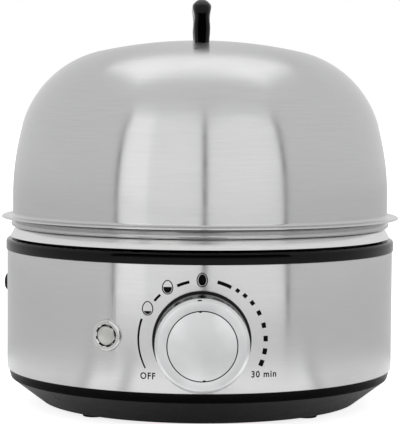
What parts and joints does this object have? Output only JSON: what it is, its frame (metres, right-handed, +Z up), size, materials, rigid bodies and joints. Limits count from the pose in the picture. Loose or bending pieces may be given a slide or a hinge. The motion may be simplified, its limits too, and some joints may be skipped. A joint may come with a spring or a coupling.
{
  "type": "egg cooker",
  "caption": "Round electric egg cooker with a domed steel lid, lift-out egg rack, water dish, brushed housing and a front timer knob.",
  "frame": {"origin": "where the housing's vertical axis meets the worktop that the feet stand on", "axes": "+Z up along the housing's axis, -Y out through the timer knob, +X to the right of someone who faces the knob"},
  "size_m": [0.1861, 0.2041, 0.1876],
  "materials": {
    "brushed_steel": "fine brushed stainless steel",
    "rack_steel": "satin stainless steel",
    "polished_steel": "polished stainless steel",
    "gloss_black": "gloss black moulded plastic",
    "satin_black": "satin black moulded plastic",
    "knob_black": "gloss black moulded plastic",
    "knob_metal": "satin silver",
    "rubber_feet": "matte black rubber",
    "bezel_chrome": "bright plated",
    "lens_clear": "clear",
    "neon_glass": "clear, faintly orange",
    "plated_steel": "bright zinc plate",
    "spreader_aluminium": "mill finish",
    "element_sheath": "heat-dulled steel sheath",
    "brass": "plain",
    "bell_steel": "bright plated",
    "dark_moulding": "dark phenolic",
    "white_moulding": "white nylon",
    "fuse_metal": "plain",
    "woven_sleeve": "woven glass-fibre sleeve",
    "brown_insulation": "satin",
    "blue_insulation": "satin",
    "green_insulation": "satin, green and yellow",
    "white_insulation": "satin silicone"
  },
  "bodies": {
    "root": {"base_feet": "rubber_feet", "base_pan": "satin_black", "base_screws": "plated_steel", "bell_bolt": "plated_steel", "bracket_screws": "plated_steel", "clamp_nut": "brass", "clamp_strap": "plated_steel", "clamp_stud": "brass", "control_bracket": "plated_steel", "cord_gland": "satin_black", "earth_eyelet": "brass", "earth_wire": "green_insulation", "fuse_sleeve": "woven_sleeve", "fuse_wire": "white_insulation", "gland_retainer": "satin_black", "heat_spreader": "spreader_aluminium", "heater_wire": "white_insulation", "heating_dish": "polished_steel", "heating_element": "element_sheath", "indicator_bezel": "bezel_chrome", "indicator_lamp": "neon_glass", "indicator_lens": "lens_clear", "indicator_nut": "plated_steel", "lamp_holder": "white_moulding", "lamp_wires": "white_insulation", "live_wire": "brown_insulation", "neutral_wire": "blue_insulation", "outer_shell": "brushed_steel", "terminal_block": "white_moulding", "terminal_screws": "plated_steel", "thermal_fuse": "fuse_metal", "thermostat": "dark_moulding", "thermostat_bracket": "plated_steel", "thermostat_screws": "plated_steel", "thermostat_spacers": "plated_steel", "thermostat_wire": "brown_insulation", "tie_posts": "plated_steel", "timer_bell": "bell_steel", "timer_case": "white_moulding", "timer_cover": "plated_steel", "timer_screws": "plated_steel", "timer_terminals": "brass", "trim_ring": "gloss_black"},
    "rack": {"egg_rack": "rack_steel", "rack_lift_loops": "rack_steel"},
    "lid": {"lid_dome": "brushed_steel", "lid_handle": "gloss_black", "handle_washers": "plated_steel", "handle_screws": "plated_steel"},
    "knob": {"knob_body": "knob_black", "knob_cap": "knob_metal", "knob_clip": "plated_steel", "timer_shaft": "plated_steel", "timer_barrel": "brass"}
  },
  "joints": [
    {"name": "rack_lift", "type": "slide", "parent": "root", "child": "rack", "axis": [0, 0, 1], "range_m": [0, 0.12]},
    {"name": "lid_lift", "type": "slide", "parent": "rack", "child": "lid", "axis": [0, 0, 1], "range_m": [0, 0.14]},
    {"name": "knob_turn", "type": "hinge", "parent": "root", "child": "knob", "pos_m": [0, -0.095, 0.0402], "axis": [0, 1, 0], "range_deg": [-125, 120]}
  ]
}
